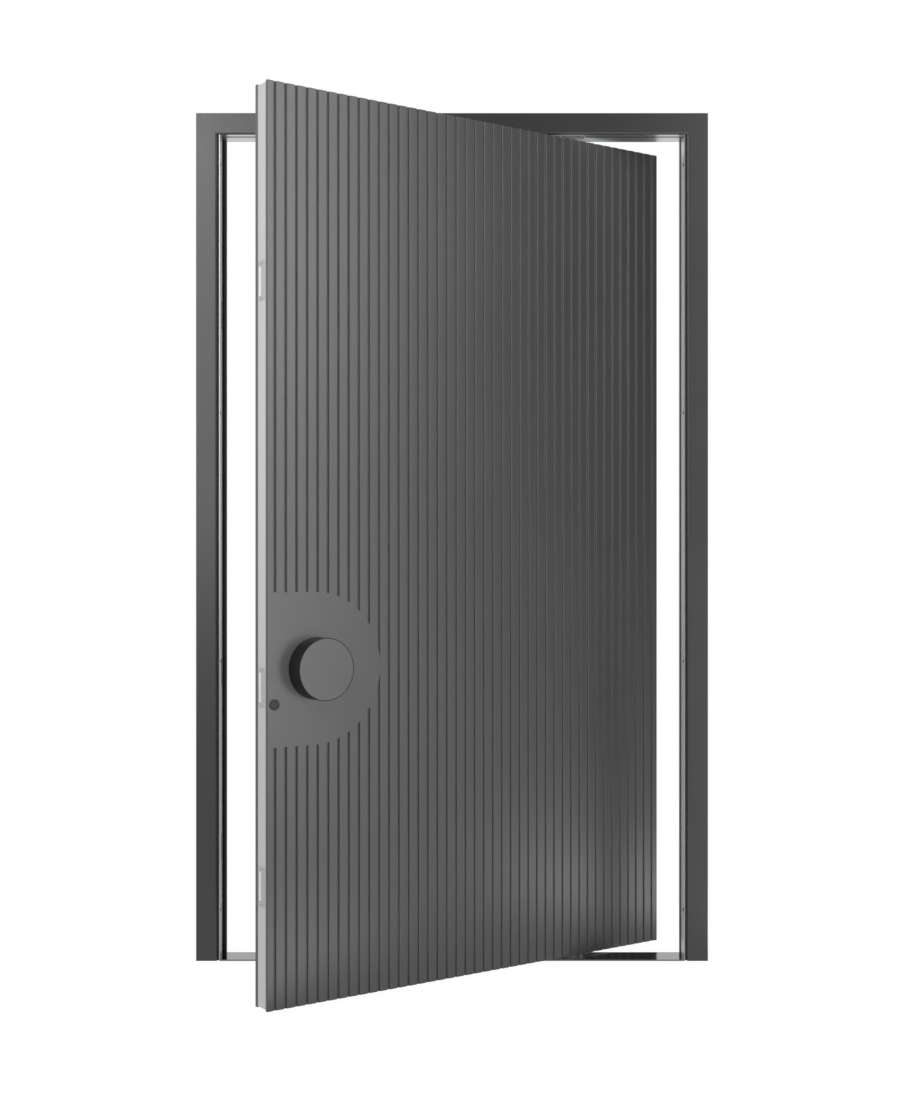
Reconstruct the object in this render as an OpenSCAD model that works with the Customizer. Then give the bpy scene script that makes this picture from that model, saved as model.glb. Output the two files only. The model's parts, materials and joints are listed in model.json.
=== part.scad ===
// Aluminium pivot door in its frame, standing open.
// The origin is at the middle of the threshold's underside. +Z is up and -Y is the front.
// Leaf pieces are drawn as if closed, then swung together about the pivot.

/* [Frame] */
// Overall width of the frame
frame_w = 1600; // [1200:1:2200]
// Overall height of the frame
frame_h = 2650; // [2150:1:3300]
// Width of the frame's front face
band_w = 66; // [50:1:90]
// Radius of the rounded inner edge of the front face
nose_r = 7; // [3:0.5:8]
// Chamfer along the outer edges of the frame
frame_chamfer = 1.5; // [0.5:0.5:3]
// Thickness of the threshold plate
threshold_t = 4; // [3:0.5:10]

/* [Jamb lining and stops] */
// Thickness of the bright strip that lines each jamb
lining_t = 8; // [7:0.5:12]
// Thickness of the lip at the front of the lining
lining_lip = 2; // [1.5:0.5:3]
// Depth of the front slot in the lining
slot_d = 14; // [10:1:18]
// Set-back of the lining's lip from the front face
lip_setback = 2; // [1:0.5:4]
// Width of lining left behind the keeps
lining_tail = 2; // [1:0.5:6]
// Depth of rubber in the front slot
slot_gasket_d = 8; // [4:1:9]
// Front to back depth of the rear stop
stop_d = 15; // [10:1:20]
// How far the lock side stop stands out past the lining
stop_reach = 10; // [9:1:14]
// Thickness of the soft seal on the lock side stop
seal_t = 5; // [3:0.5:6]
// Space between the soft seal and the closed leaf
seal_gap = 5; // [5:0.5:8]
// Width of the soft seal on the lock side stop
seal_w = 8; // [6:0.5:10]
// How far the rear bead on the pivot side stands out past the lining
bead_reach = 3; // [1:0.5:3]
// Distance of the head's bright lining from the front face
head_lining_y = 9; // [9:1:34]
// Thickness of the head's bright lining
head_lining_t = 3; // [2:0.5:4]
// Width of the seal in the underside of the head
head_seal_w = 8; // [6:1:12]
// Depth of the head seal's groove
head_seal_groove = 6; // [5:1:10]
// How far the head seal stands below the head
head_seal_reach = 0.5; // [0.5:0.5:3]

/* [Leaf] */
// Thickness of the leaf over both panels
leaf_t = 70; // [58:1:90]
// Gap between the leaf and the lining at each side when closed
side_gap = 7; // [7:0.5:10]
// Gap between the leaf and the head
top_gap = 10; // [8:1:16]
// Gap between the leaf and the threshold plate
bottom_gap = 7; // [7:1:14]
// Thickness of each ribbed panel
skin_t = 11; // [9:0.5:14]
// Width of the two upright stiles
stile_w = 60; // [52:1:90]
// Height of the top and bottom rails
rail_h = 90; // [80:1:160]
// How far the panels stand past the rails at top and bottom
rail_setback = 4; // [2:0.5:6]
// How far the panels stand past the stiles at the sides
stile_setback = 1.5; // [1:0.5:2.5]
// Angle of the leaf from closed
open_angle = 35.1; // [0:0.1:90]

/* [Ribs] */
// Distance from one groove to the next
rib_pitch = 33.9; // [25:0.1:60]
// Width of each groove at the panel's face
groove_w = 7.5; // [5:0.5:10]
// Width of each groove at its floor
groove_floor_w = 3; // [2:0.5:4]
// Depth of each groove
groove_d = 5; // [2:0.5:6]
// Radius of the plain area round the knob
plain_r = 215; // [150:1:260]

/* [Knob and cylinder] */
// Diameter of the pull knob
knob_dia = 175; // [120:1:200]
// How far the knob stands out from the panel
knob_reach = 62; // [45:1:80]
// Thickness of the disc let into the knob's face
knob_face_t = 3; // [2:0.5:5]
// Width of the rim round the knob's face disc
knob_rim = 1.5; // [1:0.5:4]
// Distance of the knob's centre from the lock edge
knob_inset = 153; // [120:1:200]
// Height of the knob's centre above the floor
knob_z = 950; // [850:1:1150]
// Distance of the lock cylinder from the lock edge
cylinder_inset = 22; // [20:0.5:35]
// Height of the lock cylinder above the floor
cylinder_z = 854; // [750:1:1000]
// Diameter of the lock cylinder
cylinder_dia = 17; // [14:0.5:20]
// Diameter of the rose round the lock cylinder
rose_dia = 31; // [26:1:36]
// How far each rose stands out from its panel
rose_t = 3; // [2:0.5:6]

/* [Locks and keeps] */
// Height of the lower lock
lower_lock_z = 350; // [200:1:600]
// Height of the main lock
main_lock_z = 900; // [800:1:1100]
// Height of the upper lock
upper_lock_z = 2025; // [1500:1:2050]
// Height of each lock plate and keep
plate_h = 112; // [100:1:150]
// Width of the stile left beside each lock plate
plate_margin = 4; // [3:0.5:5]
// Thickness of each lock plate and keep
plate_t = 3; // [2:0.5:4]
// Height of each hook bolt
bolt_h = 84; // [60:1:90]
// Width of each hook bolt
bolt_w = 12; // [8:1:14]
// Depth of each hook bolt, drawn back into the leaf
bolt_d = 8; // [6:0.5:12]
// Width of the lock plate left behind each hook bolt
bolt_web = 2; // [1.5:0.5:3]
// Width of each keep
keep_w = 24; // [20:1:28]

/* [Pivots] */
// Distance of the pivot axis from the leaf's pivot edge
pivot_inset = 383; // [250:1:500]
// Diameter of the floor pivot pin
floor_pin_dia = 20; // [16:1:24]
// Diameter of the head pivot pin
head_pin_dia = 16; // [12:1:20]
// How far each pin reaches into its shoe
pin_depth = 32; // [24:1:36]
// Length of the pivot plates on threshold and head
pivot_plate_l = 160; // [120:1:220]
// Width of the pivot plates
pivot_plate_w = 44; // [36:1:56]
// Thickness of the pivot plates
pivot_plate_t = 2; // [1.5:0.5:2.5]
// Length of the pivot shoes in the leaf's rails
shoe_l = 140; // [100:1:180]
// Height of the pivot shoes
shoe_h = 45; // [40:1:60]
// Thickness of the rail left on each side of a pivot shoe
shoe_wall = 4; // [3:0.5:5]
// Width of the drop seal in the bottom rail
drop_seal_w = 10; // [6:1:16]

/* [Wall fixings] */
// Diameter of the fixing holes through each jamb
fixing_dia = 9; // [6:0.5:11]
// Distance of the end fixing holes from the frame's top and bottom
fixing_end = 155; // [120:5:300]
// Depth of the fixing holes behind the front face
fixing_y = 24; // [22:0.5:26]

/* [Hidden] */

// Smoothness of round shapes
$fn = 96;
// How far a cutting shape runs past the face that it cuts
past = 1;
// Clearance of a pin in its bore, on the radius
pin_fit = 0.05;
// Clearance round a part that is let into another
set_fit = 0.1;
// Clearance of a hook bolt in its slot
bolt_fit = 0.5;
// Room at the end of a pivot pin's bore
bore_relief = 3;
// Height and width of the collar at the root of a pivot pin
collar_h = 3;
collar_step = 6;
// Space kept between a seal and the pivot hardware
seal_break = 5;
// Depth of the drop seal's groove, and how far the seal stands out of it
drop_groove = 10;
drop_reach = 3;
// Length of the lining that is left past each end of a bolt's slot in its keep
keep_slot_room = 4;

frame_d = leaf_t + seal_gap + seal_t + stop_d;
front_y = -frame_d / 2;
back_y = frame_d / 2;
stop_y = back_y - stop_d;
lining_inner = frame_w / 2 - band_w - lining_t;
head_under = frame_h - band_w;
stop_inner = lining_inner - stop_reach;
head_lining_front = front_y + head_lining_y;
bead_inner = lining_inner - bead_reach;

leaf_edge = lining_inner - side_gap;
leaf_w = 2 * leaf_edge;
leaf_z0 = threshold_t + bottom_gap;
leaf_z1 = head_under - top_gap;
leaf_back = front_y + leaf_t;
leaf_mid = front_y + leaf_t / 2;
core_y0 = front_y + skin_t;
core_y1 = leaf_back - skin_t;
core_t = leaf_t - 2 * skin_t;
plate_w = core_t - 2 * plate_margin;
shoe_w = core_t - 2 * shoe_wall;
bolt_y = leaf_mid + plate_w / 2 - bolt_web - bolt_fit - bolt_w / 2;
core_z0 = leaf_z0 + rail_setback;
core_z1 = leaf_z1 - rail_setback;
stile_x = leaf_edge - stile_setback;
rail_x = stile_x - stile_w;

pivot_x = leaf_edge - pivot_inset;
pivot_y = leaf_mid;
knob_x = knob_inset - leaf_edge;
cylinder_x = cylinder_inset - leaf_edge;
floor_plate_top = threshold_t + pivot_plate_t;
head_plate_under = head_under - pivot_plate_t;

keep_back = bolt_y + keep_w / 2;
lock_lining_back = keep_back + lining_tail;
groove_count = floor(leaf_w / rib_pitch);
first_groove = -(groove_count - 1) * rib_pitch / 2;
fixing_count = 4;
fixing_pitch = (frame_h - 2 * fixing_end) / (fixing_count - 1);

paint = "#4a4b4c";
bright = "#c9cccd";
satin = "#9a9d9f";
rubber = "#17181a";
black_metal = "#232426";

// A rectangular block between two values on each axis
module block(x, y, z) {
    translate([x[0], y[0], z[0]])
        cube([x[1] - x[0], y[1] - y[0], z[1] - z[0]]);
}

// A round bar along Y from one depth to another
module bar_y(x, z, y0, y1, r) {
    translate([x, y1, z])
        rotate([90, 0, 0])
            cylinder(h = y1 - y0, r = r);
}

// Turns the leaf's pieces from closed to open about the pivot
module swung() {
    translate([pivot_x, pivot_y, 0])
        rotate([0, 0, open_angle])
            translate([-pivot_x, -pivot_y, 0])
                children();
}

// Section of a frame member: outer edge at 0, front face at 0, rounded at the inner front edge
module band_section() {
    difference() {
        square([band_w, frame_d]);
        polygon([[-past, -past], [frame_chamfer + past, -past], [-past, frame_chamfer + past]]);
        translate([0, frame_d])
            polygon([[-past, past], [frame_chamfer + past, past], [-past, -frame_chamfer - past]]);
        translate([band_w - nose_r, -past])
            difference() {
                square([nose_r + past, nose_r + past]);
                translate([0, nose_r + past])
                    circle(r = nose_r);
            }
    }
}

// The four fixing holes of the lock side jamb, bored along X
module fixing_holes() {
    for (i = [0 : fixing_count - 1])
        translate([-frame_w / 2 - past, front_y + fixing_y, fixing_end + i * fixing_pitch])
            rotate([0, 90, 0])
                cylinder(h = band_w + lining_t + 2 * past, d = fixing_dia);
}

// A jamb on the lock side, mitred at its top
module jamb() {
    corner_x = -frame_w / 2;
    difference() {
        translate([corner_x, front_y, 0])
            linear_extrude(frame_h)
                band_section();
        translate([corner_x, back_y + past, frame_h])
            rotate([90, 0, 0])
                linear_extrude(frame_d + 2 * past)
                    polygon([
                        [-past, past],
                        [band_w + past, -band_w - past],
                        [band_w + past, past]
                    ]);
        fixing_holes();
    }
}

module lock_jamb() {
    color(paint)
        jamb();
}

module pivot_jamb() {
    color(paint)
        mirror([1, 0, 0])
            jamb();
}

// The head seal's two runs, one on each side of the head pivot plate
module head_seal_runs(z0, z1) {
    half_plate = pivot_plate_l / 2 + seal_break;
    seal_y = [leaf_mid - head_seal_w / 2, leaf_mid + head_seal_w / 2];
    block([-lining_inner, pivot_x - half_plate], seal_y, [z0, z1]);
    block([pivot_x + half_plate, lining_inner], seal_y, [z0, z1]);
}

// Cuts one end of the head to the mitre line
module head_mitre() {
    translate([-frame_w / 2, back_y + past, frame_h])
        rotate([90, 0, 0])
            linear_extrude(frame_d + 2 * past)
                polygon([
                    [-past, past],
                    [-past, -band_w - past],
                    [band_w + past, -band_w - past]
                ]);
}

module head() {
    color(paint)
        difference() {
            translate([frame_w / 2, front_y, frame_h])
                rotate([0, -90, 0])
                    mirror([1, 0, 0])
                        linear_extrude(frame_w)
                            band_section();
            head_mitre();
            mirror([1, 0, 0])
                head_mitre();
            block(
                [-lining_inner, lining_inner],
                [head_lining_front, back_y + past],
                [head_under - past, head_under + head_lining_t]
            );
            head_seal_runs(head_under - past, head_under + head_seal_groove);
        }
}

module head_lining() {
    color(bright)
        difference() {
            block(
                [-lining_inner, lining_inner],
                [head_lining_front, back_y],
                [head_under, head_under + head_lining_t]
            );
            head_seal_runs(head_under - past, head_under + head_lining_t + past);
        }
}

module threshold() {
    notch_y = [stop_y, back_y + past];
    notch_z = [-past, threshold_t + past];
    color(bright)
        difference() {
            block([-lining_inner, lining_inner], [front_y, back_y], [0, threshold_t]);
            block([-lining_inner - past, -stop_inner], notch_y, notch_z);
            block([bead_inner, lining_inner + past], notch_y, notch_z);
        }
}

// The bright lining of a jamb on the lock side, with an open slot behind the jamb's rounded edge
module lining(end_y) {
    lip_y = front_y + lip_setback;
    difference() {
        block([-lining_inner - lining_t, -lining_inner], [lip_y, end_y], [0, head_under]);
        block(
            [-lining_inner - lining_t - past, -lining_inner - lining_lip],
            [lip_y - past, lip_y + slot_d],
            [-past, head_under + past]
        );
        fixing_holes();
    }
}

module lock_lining() {
    color(bright)
        difference() {
            lining(lock_lining_back);
            for (z = [lower_lock_z, main_lock_z, upper_lock_z])
                block(
                    [-lining_inner - plate_t, -lining_inner + past],
                    [bolt_y - keep_w / 2, bolt_y + keep_w / 2],
                    [z - plate_h / 2, z + plate_h / 2]
                );
        }
}

module pivot_lining() {
    color(bright)
        mirror([1, 0, 0])
            lining(stop_y);
}

// The black rubber in the front slot of the lock side lining
module slot_gasket() {
    slot_end = front_y + lip_setback + slot_d;
    block(
        [-lining_inner - lining_t, -lining_inner - lining_lip],
        [slot_end - slot_gasket_d, slot_end],
        [0, head_under]
    );
}

module lock_slot_gasket() {
    color(rubber)
        slot_gasket();
}

module pivot_slot_gasket() {
    color(rubber)
        mirror([1, 0, 0])
            slot_gasket();
}

// The black profile behind the lock side lining, with the stop along its rear edge
module lock_stop() {
    root_x = -lining_inner - lining_t;
    color(black_metal) {
        block([root_x, -lining_inner], [lock_lining_back, back_y], [0, head_under]);
        block([root_x, -stop_inner], [stop_y, back_y], [0, head_under]);
    }
}

module lock_stop_seal() {
    round_r = seal_t / 2;
    color(rubber)
        translate([-stop_inner - seal_w, stop_y - seal_t, threshold_t])
            linear_extrude(head_under - threshold_t) {
                translate([0, round_r])
                    square([seal_w, seal_t - round_r]);
                translate([round_r, 0])
                    square([seal_w - seal_t, seal_t]);
                for (x = [round_r, seal_w - round_r])
                    translate([x, round_r])
                        circle(r = round_r);
            }
}

module pivot_rear_bead() {
    color(paint)
        block([bead_inner, lining_inner + lining_t], [stop_y, back_y], [0, head_under]);
}

module head_seal() {
    color(rubber)
        head_seal_runs(head_under - head_seal_reach, head_under + head_seal_groove);
}

// A keep plate let into the lock side lining, with a slot for its hook bolt
module keep(z) {
    slot_w = bolt_w + 2 * bolt_fit;
    slot_h = bolt_h + keep_slot_room;
    color(satin)
        difference() {
            block(
                [-lining_inner - plate_t, -lining_inner],
                [bolt_y - keep_w / 2, bolt_y + keep_w / 2],
                [z - plate_h / 2, z + plate_h / 2]
            );
            block(
                [-lining_inner - plate_t - past, -lining_inner + past],
                [bolt_y - slot_w / 2, bolt_y + slot_w / 2],
                [z - slot_h / 2, z + slot_h / 2]
            );
        }
}

module lower_keep() {
    keep(lower_lock_z);
}

module main_keep() {
    keep(main_lock_z);
}

module upper_keep() {
    keep(upper_lock_z);
}

// A flat pivot plate centred on the pivot axis
module pivot_plate(z) {
    color(satin)
        block(
            [pivot_x - pivot_plate_l / 2, pivot_x + pivot_plate_l / 2],
            [pivot_y - pivot_plate_w / 2, pivot_y + pivot_plate_w / 2],
            [z, z + pivot_plate_t]
        );
}

module floor_pivot_plate() {
    pivot_plate(threshold_t);
}

module head_pivot_plate() {
    pivot_plate(head_plate_under);
}

module floor_pivot_pin() {
    color(satin)
        translate([pivot_x, pivot_y, floor_plate_top]) {
            cylinder(h = core_z0 - floor_plate_top + pin_depth, d = floor_pin_dia);
            cylinder(h = collar_h, d = floor_pin_dia + 2 * collar_step);
        }
}

module head_pivot_pin() {
    pin_end = core_z1 - pin_depth;
    color(satin)
        translate([pivot_x, pivot_y, 0]) {
            translate([0, 0, pin_end])
                cylinder(h = head_plate_under - pin_end, d = head_pin_dia);
            translate([0, 0, head_plate_under - collar_h])
                cylinder(h = collar_h, d = head_pin_dia + 2 * collar_step);
        }
}

// The pocket of a lock plate and its hook bolt in the lock stile
module lock_pocket(z) {
    block(
        [-stile_x - past, -stile_x + plate_t],
        [leaf_mid - plate_w / 2, leaf_mid + plate_w / 2],
        [z - plate_h / 2, z + plate_h / 2]
    );
    bolt_slot(z, -stile_x + bolt_d);
}

// The slot round a hook bolt, from outside the lock edge to x_end
module bolt_slot(z, x_end) {
    half_w = bolt_w / 2 + bolt_fit;
    half_h = bolt_h / 2 + bolt_fit;
    block(
        [-stile_x - past, x_end],
        [bolt_y - half_w, bolt_y + half_w],
        [z - half_h, z + half_h]
    );
}

// The bore of the lock cylinder, right through the leaf
module cylinder_bore() {
    bar_y(cylinder_x, cylinder_z, front_y - past, leaf_back + past, cylinder_dia / 2 + set_fit);
}

module lock_stile() {
    color(bright)
        swung()
            difference() {
                block([-stile_x, -rail_x], [core_y0, core_y1], [core_z0, core_z1]);
                for (z = [lower_lock_z, main_lock_z, upper_lock_z])
                    lock_pocket(z);
                cylinder_bore();
            }
}

module pivot_stile() {
    color(bright)
        swung()
            block([rail_x, stile_x], [core_y0, core_y1], [core_z0, core_z1]);
}

// Space for a pivot shoe, open at the rail's outer face
module shoe_pocket(z0, z1) {
    block(
        [pivot_x - shoe_l / 2, pivot_x + shoe_l / 2],
        [pivot_y - shoe_w / 2, pivot_y + shoe_w / 2],
        [z0, z1]
    );
}

module top_rail() {
    color(bright)
        swung()
            difference() {
                block([-rail_x, rail_x], [core_y0, core_y1], [core_z1 - rail_h, core_z1]);
                shoe_pocket(core_z1 - shoe_h, core_z1 + past);
            }
}

// The drop seal's two runs, one on each side of the floor pivot shoe
module drop_seal_runs(z0, z1) {
    half_shoe = shoe_l / 2 + seal_break;
    seal_y = [leaf_mid - drop_seal_w / 2, leaf_mid + drop_seal_w / 2];
    block([-rail_x, pivot_x - half_shoe], seal_y, [z0, z1]);
    block([pivot_x + half_shoe, rail_x], seal_y, [z0, z1]);
}

module bottom_rail() {
    color(bright)
        swung()
            difference() {
                block([-rail_x, rail_x], [core_y0, core_y1], [core_z0, core_z0 + rail_h]);
                shoe_pocket(core_z0 - past, core_z0 + shoe_h);
                drop_seal_runs(core_z0 - past, core_z0 + drop_groove);
            }
}

module drop_seal() {
    color(rubber)
        swung()
            drop_seal_runs(core_z0 - drop_reach, core_z0 + drop_groove);
}

module floor_pivot_shoe() {
    bore_h = pin_depth + bore_relief;
    color(satin)
        swung()
            difference() {
                shoe_pocket(core_z0, core_z0 + shoe_h);
                translate([pivot_x, pivot_y, core_z0 - past])
                    cylinder(h = bore_h + past, d = floor_pin_dia + 2 * pin_fit);
            }
}

module head_pivot_shoe() {
    bore_h = pin_depth + bore_relief;
    color(satin)
        swung()
            difference() {
                shoe_pocket(core_z1 - shoe_h, core_z1);
                translate([pivot_x, pivot_y, core_z1 - bore_h])
                    cylinder(h = bore_h + past, d = head_pin_dia + 2 * pin_fit);
            }
}

// The plain area round the knob, seen from the front: square to the lock edge, round beyond
module plain_area() {
    translate([knob_x, knob_z])
        circle(r = plain_r);
    translate([-leaf_edge - past, knob_z - plain_r])
        square([knob_inset + past, 2 * plain_r]);
}

// One groove for the whole height of a panel on the leaf's front, narrower at its floor
module groove(x) {
    translate([x, front_y, leaf_z0 - past])
        linear_extrude(leaf_z1 - leaf_z0 + 2 * past)
            polygon([
                [-groove_w / 2, -past],
                [groove_w / 2, -past],
                [groove_w / 2, 0],
                [groove_floor_w / 2, groove_d],
                [-groove_floor_w / 2, groove_d],
                [-groove_w / 2, 0]
            ]);
}

// The leaf's front panel, closed, with its grooves left out of the plain area
module ribbed_panel() {
    difference() {
        block([-leaf_edge, leaf_edge], [front_y, core_y0], [leaf_z0, leaf_z1]);
        difference() {
            for (i = [0 : groove_count - 1])
                groove(first_groove + i * rib_pitch);
            translate([0, core_y0, 0])
                rotate([90, 0, 0])
                    linear_extrude(skin_t + 2 * past)
                        plain_area();
        }
        cylinder_bore();
    }
}

// Turns a piece of the closed leaf's front into the matching piece of its back
module behind() {
    translate([0, 2 * leaf_mid, 0])
        mirror([0, 1, 0])
            children();
}

module front_panel() {
    color(paint)
        swung()
            ribbed_panel();
}

module back_panel() {
    color(paint)
        swung()
            behind()
                ribbed_panel();
}

// A lock plate let into the lock stile, with a slot for its hook bolt
module lock_plate(z) {
    color(satin)
        swung()
            difference() {
                block(
                    [-stile_x, -stile_x + plate_t],
                    [leaf_mid - plate_w / 2, leaf_mid + plate_w / 2],
                    [z - plate_h / 2, z + plate_h / 2]
                );
                bolt_slot(z, -stile_x + plate_t + past);
            }
}

module lower_lock_plate() {
    lock_plate(lower_lock_z);
}

module main_lock_plate() {
    lock_plate(main_lock_z);
}

module upper_lock_plate() {
    lock_plate(upper_lock_z);
}

// A hook bolt drawn back flush with the leaf's edge
module hook_bolt(z) {
    color(bright)
        swung()
            block(
                [-stile_x, -stile_x + bolt_d],
                [bolt_y - bolt_w / 2, bolt_y + bolt_w / 2],
                [z - bolt_h / 2, z + bolt_h / 2]
            );
}

module lower_hook_bolt() {
    hook_bolt(lower_lock_z);
}

module main_hook_bolt() {
    hook_bolt(main_lock_z);
}

module upper_hook_bolt() {
    hook_bolt(upper_lock_z);
}

// A knob body standing towards the front from the plane y = 0, recessed for its face disc
module knob_body() {
    face_r = knob_dia / 2 - knob_rim;
    difference() {
        bar_y(knob_x, knob_z, -knob_reach, 0, knob_dia / 2);
        bar_y(knob_x, knob_z, -knob_reach - past, -knob_reach + knob_face_t, face_r);
    }
}

// The disc let into a knob's face
module knob_disc() {
    face_r = knob_dia / 2 - knob_rim - set_fit;
    bar_y(knob_x, knob_z, -knob_reach, -knob_reach + knob_face_t, face_r);
}

// Puts a fitting drawn for the plane y = 0 on the leaf's front
module on_front() {
    swung()
        translate([0, front_y, 0])
            children();
}

// Puts the same fitting on the leaf's back, facing the other way
module on_back() {
    swung()
        behind()
            translate([0, front_y, 0])
                children();
}

module front_knob() {
    color(black_metal)
        on_front()
            knob_body();
}

module front_knob_face() {
    color(paint)
        on_front()
            knob_disc();
}

module back_knob() {
    color(black_metal)
        on_back()
            knob_body();
}

module back_knob_face() {
    color(paint)
        on_back()
            knob_disc();
}

// The ring round the lock cylinder
module rose() {
    difference() {
        bar_y(cylinder_x, cylinder_z, -rose_t, 0, rose_dia / 2);
        bar_y(cylinder_x, cylinder_z, -rose_t - past, past, cylinder_dia / 2 + set_fit);
    }
}

module front_cylinder_rose() {
    color(black_metal)
        on_front()
            rose();
}

module back_cylinder_rose() {
    color(black_metal)
        on_back()
            rose();
}

module lock_cylinder() {
    color(satin)
        swung()
            bar_y(cylinder_x, cylinder_z, front_y - rose_t, leaf_back + rose_t, cylinder_dia / 2);
}

lock_jamb();
pivot_jamb();
head();
threshold();
lock_lining();
pivot_lining();
lock_slot_gasket();
pivot_slot_gasket();
lock_stop();
lock_stop_seal();
pivot_rear_bead();
head_lining();
head_seal();
lower_keep();
main_keep();
upper_keep();
floor_pivot_plate();
floor_pivot_pin();
head_pivot_plate();
head_pivot_pin();
lock_stile();
pivot_stile();
top_rail();
bottom_rail();
front_panel();
back_panel();
floor_pivot_shoe();
head_pivot_shoe();
drop_seal();
lower_lock_plate();
main_lock_plate();
upper_lock_plate();
lower_hook_bolt();
main_hook_bolt();
upper_hook_bolt();
front_knob();
front_knob_face();
back_knob();
back_knob_face();
front_cylinder_rose();
back_cylinder_rose();
lock_cylinder();
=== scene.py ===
import json
import math

import bmesh
import bpy
from mathutils import Matrix, Vector


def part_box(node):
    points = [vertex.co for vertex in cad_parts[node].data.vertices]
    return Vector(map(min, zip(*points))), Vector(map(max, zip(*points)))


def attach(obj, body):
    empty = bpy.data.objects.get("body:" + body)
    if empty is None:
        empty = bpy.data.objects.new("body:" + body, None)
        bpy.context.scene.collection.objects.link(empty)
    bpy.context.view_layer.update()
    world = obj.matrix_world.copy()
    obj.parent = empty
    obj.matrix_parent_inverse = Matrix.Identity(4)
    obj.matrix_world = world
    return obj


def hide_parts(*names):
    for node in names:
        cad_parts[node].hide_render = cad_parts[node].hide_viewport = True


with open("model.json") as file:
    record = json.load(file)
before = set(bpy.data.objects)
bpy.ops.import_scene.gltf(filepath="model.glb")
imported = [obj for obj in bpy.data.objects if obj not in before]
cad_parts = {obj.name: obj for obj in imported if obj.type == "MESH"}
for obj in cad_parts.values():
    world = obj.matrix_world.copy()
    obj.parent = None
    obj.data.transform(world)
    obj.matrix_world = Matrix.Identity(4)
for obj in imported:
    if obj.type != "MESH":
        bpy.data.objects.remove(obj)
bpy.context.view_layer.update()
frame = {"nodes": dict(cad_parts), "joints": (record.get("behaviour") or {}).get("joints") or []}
scene = bpy.context.scene
scene.view_settings.view_transform = "Standard"


# ---- Camera -----------------------------------------------------------------------------------
# A level camera straight in front of the frame, a little below eye height. It stands near enough
# that the lock edge of the open leaf, which swings towards it, looks taller than the frame.
CAMERA_AWAY = 4.946
CAMERA_HEIGHT = 1.255
LENS_MM = 51.8
SENSOR_MM = 36.0
SHIFT_RIGHT = 0.0059
SHIFT_UP = 0.0085
QUARTER_TURN = math.radians(90.0)

frame_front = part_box("lock_jamb")[0].y
camera_data = bpy.data.cameras.new("camera")
camera_data.lens = LENS_MM
camera_data.sensor_width = SENSOR_MM
camera_data.shift_x = SHIFT_RIGHT
camera_data.shift_y = SHIFT_UP
camera = bpy.data.objects.new("camera", camera_data)
camera.location = (0.0, frame_front - CAMERA_AWAY, CAMERA_HEIGHT)
camera.rotation_euler = (QUARTER_TURN, 0.0, 0.0)
scene.collection.objects.link(camera)
scene.camera = camera


# ---- Floor ------------------------------------------------------------------------------------
# A wide plain floor, level with the underside of the threshold. It is white to the camera and in
# polished metal, and it still takes the soft shadow of the door.
FLOOR_HALF = 30.0
FLOOR_DROP = 0.0005
FLOOR_WHITE = 0.955
FLOOR_IN_GLOSS = 0.7
FLOOR_SHADOW_SHARE = 0.14
FLOOR_PAINT = 0.5


def node(tree, kind, inputs=None, **settings):
    """Adds a node, with its settings, and sets or links the inputs that are given by name."""
    made = tree.nodes.new(kind)
    for name, value in settings.items():
        setattr(made, name, value)
    for name, value in (inputs or {}).items():
        if isinstance(value, bpy.types.NodeSocket):
            tree.links.new(value, made.inputs[name])
        else:
            made.inputs[name].default_value = value
    return made


def empty_material(name):
    """A material with no nodes yet."""
    material = bpy.data.materials.new(name)
    material.use_nodes = True
    material.node_tree.nodes.clear()
    return material


def seen_directly(tree, path):
    """1 for rays from the camera, off gloss and through glass, and 0 for the rays of soft light."""
    camera_or_gloss = node(tree, "ShaderNodeMath", {
        0: path.outputs["Is Camera Ray"], 1: path.outputs["Is Glossy Ray"],
    }, operation="MAXIMUM")
    return node(tree, "ShaderNodeMath", {
        0: camera_or_gloss.outputs[0], 1: path.outputs["Is Transmission Ray"],
    }, operation="MAXIMUM").outputs[0]


floor_white = empty_material("floor_white")
tree = floor_white.node_tree
path = node(tree, "ShaderNodeLightPath")
soft = node(tree, "ShaderNodeBsdfDiffuse", {"Color": (FLOOR_PAINT, FLOOR_PAINT, FLOOR_PAINT, 1.0)})
faint = node(tree, "ShaderNodeBsdfDiffuse", {
    "Color": (FLOOR_SHADOW_SHARE, FLOOR_SHADOW_SHARE, FLOOR_SHADOW_SHARE, 1.0),
})
glow_level = node(tree, "ShaderNodeMix", {
    "Factor": path.outputs["Is Glossy Ray"], 2: FLOOR_WHITE, 3: FLOOR_IN_GLOSS,
})
glow = node(tree, "ShaderNodeEmission", {"Strength": glow_level.outputs[0]})
bright = node(tree, "ShaderNodeAddShader", {0: faint.outputs[0], 1: glow.outputs[0]})
mixed = node(tree, "ShaderNodeMixShader", {
    0: seen_directly(tree, path), 1: soft.outputs[0], 2: bright.outputs[0],
})
node(tree, "ShaderNodeOutputMaterial", {"Surface": mixed.outputs[0]})

shape = bmesh.new()
bmesh.ops.create_grid(shape, x_segments=8, y_segments=8, size=FLOOR_HALF)
bmesh.ops.translate(shape, verts=shape.verts, vec=(0.0, 0.0, -FLOOR_DROP))
floor_mesh = bpy.data.meshes.new("floor")
shape.to_mesh(floor_mesh)
shape.free()
floor_mesh.materials.append(floor_white)
floor = bpy.data.objects.new("floor", floor_mesh)
scene.collection.objects.link(floor)


# ---- Surroundings -----------------------------------------------------------------------------
# A white room. Metal and gloss see it white on the lock side and behind the door, and dimmer in
# front of the door on the pivot side, where the room is unlit.
ROOM_LIGHT = 0.36
ROOM_WHITE = 1.0
ROOM_DIM = 0.05
BRIGHT_SIDE = (-0.8, 0.6, 0.0)
DIM_FROM = -0.35
DIM_TO = 0.25

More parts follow.
